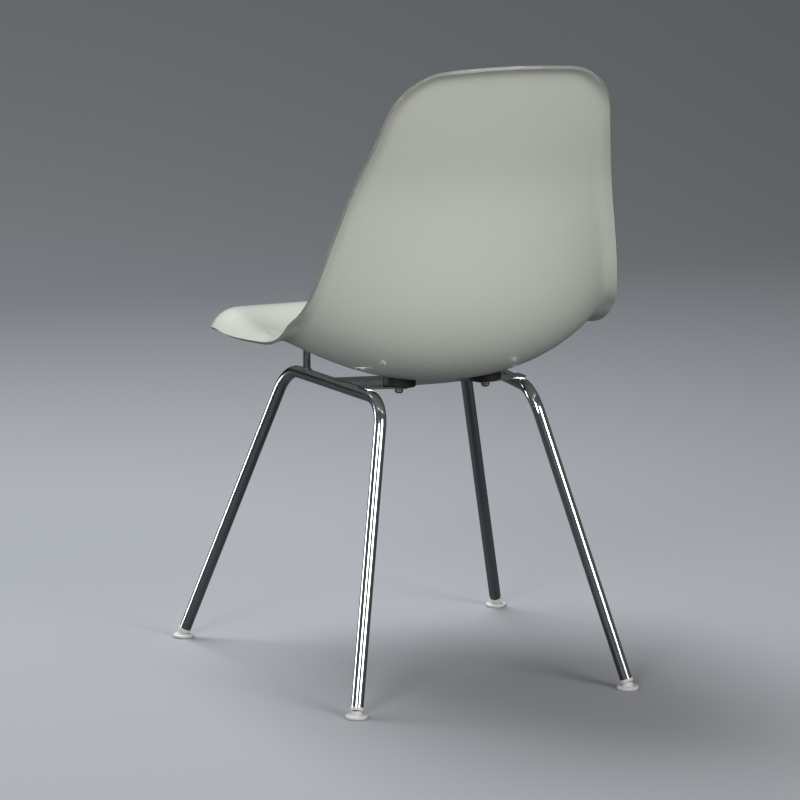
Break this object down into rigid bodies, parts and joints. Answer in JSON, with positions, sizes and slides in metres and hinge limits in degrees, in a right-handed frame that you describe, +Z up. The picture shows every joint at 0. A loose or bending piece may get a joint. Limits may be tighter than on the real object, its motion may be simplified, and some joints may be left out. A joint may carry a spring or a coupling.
{
  "type": "shell chair",
  "caption": "One-piece moulded plastic seat and back on rubber mounts, carried by bent chromed side tubes with self-levelling glides.",
  "frame": {"origin": "on the floor, under the middle of the chair's overall length and width", "axes": "+Z up; the chair faces -Y, so the back is at +Y; the sitter's left is +X"},
  "size_m": [0.5, 0.5685, 0.8297],
  "materials": {
    "moulded_shell": "glossy glass-fibre reinforced polyester, greenish white",
    "frame_chrome": "bright chromed steel",
    "black_rubber": "black moulded rubber",
    "zinc_steel": "zinc plated steel",
    "white_plastic": "white nylon"
  },
  "bodies": {
    "frame": {"seat_shell": "moulded_shell", "left_side_tube": "frame_chrome", "right_side_tube": "frame_chrome", "cross_strap": "frame_chrome", "left_front_post": "frame_chrome", "right_front_post": "frame_chrome", "left_front_mount_tab": "frame_chrome", "left_front_shock_mount": "black_rubber", "left_front_mount_insert": "zinc_steel", "right_front_mount_tab": "frame_chrome", "right_front_shock_mount": "black_rubber", "right_front_mount_insert": "zinc_steel", "left_rear_mount_tab": "frame_chrome", "left_rear_shock_mount": "black_rubber", "left_rear_mount_insert": "zinc_steel", "right_rear_mount_tab": "frame_chrome", "right_rear_shock_mount": "black_rubber", "right_rear_mount_insert": "zinc_steel", "mount_screws": "zinc_steel", "lock_washers": "zinc_steel", "flat_washers": "zinc_steel", "left_front_glide_plug": "white_plastic", "right_front_glide_plug": "white_plastic", "left_rear_glide_plug": "white_plastic", "right_rear_glide_plug": "white_plastic"},
    "left_front_stud": {"left_front_ball_stud": "zinc_steel"},
    "left_front_foot": {"left_front_glide_foot": "white_plastic"},
    "right_front_stud": {"right_front_ball_stud": "zinc_steel"},
    "right_front_foot": {"right_front_glide_foot": "white_plastic"},
    "left_rear_stud": {"left_rear_ball_stud": "zinc_steel"},
    "left_rear_foot": {"left_rear_glide_foot": "white_plastic"},
    "right_rear_stud": {"right_rear_ball_stud": "zinc_steel"},
    "right_rear_foot": {"right_rear_glide_foot": "white_plastic"}
  },
  "joints": [
    {"name": "left_front_stud_spin", "type": "hinge", "parent": "frame", "child": "left_front_stud", "pos_m": [0.2354, -0.2687, 0.0064], "axis": [-0.2579, 0.2952, 0.92], "continuous": true},
    {"name": "left_front_foot_tilt", "type": "hinge", "parent": "left_front_stud", "child": "left_front_foot", "pos_m": [0.2354, -0.2687, 0.0064], "axis": [-0.7531, -0.6579, 0], "range_deg": [-3.4, 49.5]},
    {"name": "right_front_stud_spin", "type": "hinge", "parent": "frame", "child": "right_front_stud", "pos_m": [-0.2354, -0.2687, 0.0064], "axis": [0.2579, 0.2952, 0.92], "continuous": true},
    {"name": "right_front_foot_tilt", "type": "hinge", "parent": "right_front_stud", "child": "right_front_foot", "pos_m": [-0.2354, -0.2687, 0.0064], "axis": [-0.7531, 0.6579, 0], "range_deg": [-3.4, 49.5]},
    {"name": "left_rear_stud_spin", "type": "hinge", "parent": "frame", "child": "left_rear_stud", "pos_m": [0.1924, 0.2383, 0.0064], "axis": [-0.2118, -0.289, 0.9336], "continuous": true},
    {"name": "left_rear_foot_tilt", "type": "hinge", "parent": "left_rear_stud", "child": "left_rear_foot", "pos_m": [0.1924, 0.2383, 0.0064], "axis": [0.8066, -0.5911, 0], "range_deg": [-5.5, 47.4]},
    {"name": "right_rear_stud_spin", "type": "hinge", "parent": "frame", "child": "right_rear_stud", "pos_m": [-0.1924, 0.2383, 0.0064], "axis": [0.2118, -0.289, 0.9336], "continuous": true},
    {"name": "right_rear_foot_tilt", "type": "hinge", "parent": "right_rear_stud", "child": "right_rear_foot", "pos_m": [-0.1924, 0.2383, 0.0064], "axis": [0.8066, 0.5911, 0], "range_deg": [-5.5, 47.4]}
  ]
}
